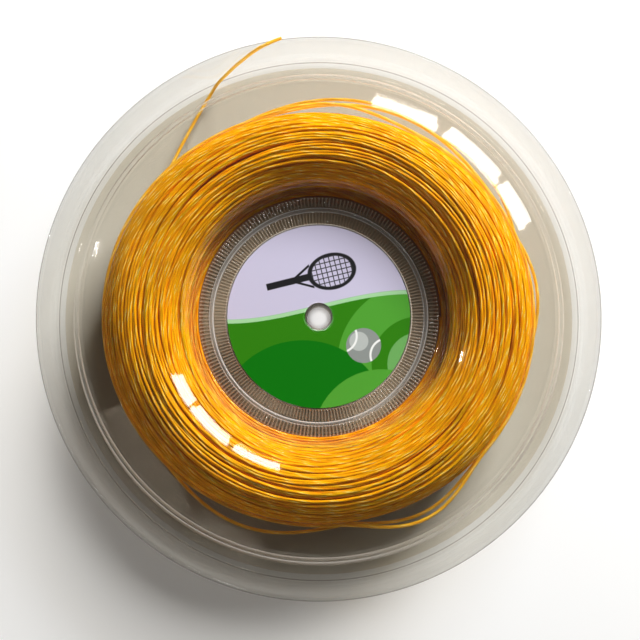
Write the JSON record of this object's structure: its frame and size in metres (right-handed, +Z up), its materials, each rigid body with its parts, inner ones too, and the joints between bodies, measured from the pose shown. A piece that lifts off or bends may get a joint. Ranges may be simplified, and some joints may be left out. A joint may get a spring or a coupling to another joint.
{
  "type": "string_reel",
  "caption": "Clear moulded reel of yellow twisted racket string: flat dish with an upright wall, domed lid with a ribbed hub recess, and a printed hub label",
  "frame": {"origin": "centre of the dish's underside, on the ground, where the spindle's axis meets it", "axes": "+Z up along the reel's axis, out through the lid; +X to the right and +Y to the top of the label as it is read from above"},
  "size_m": [0.21, 0.21, 0.0356],
  "materials": {
    "clear_plastic": "clear moulded polystyrene, glossy",
    "label_paper": "coated printed paper",
    "packed_string": "packed turns of twisted string, in shadow",
    "string": "twisted nylon with a clear coat"
  },
  "bodies": {
    "root": {"dish": "clear_plastic", "lid": "clear_plastic", "label": "label_paper", "string_core": "packed_string", "string_turns": "string", "loose_turns": "string", "string_tail": "string"}
  },
  "joints": []
}
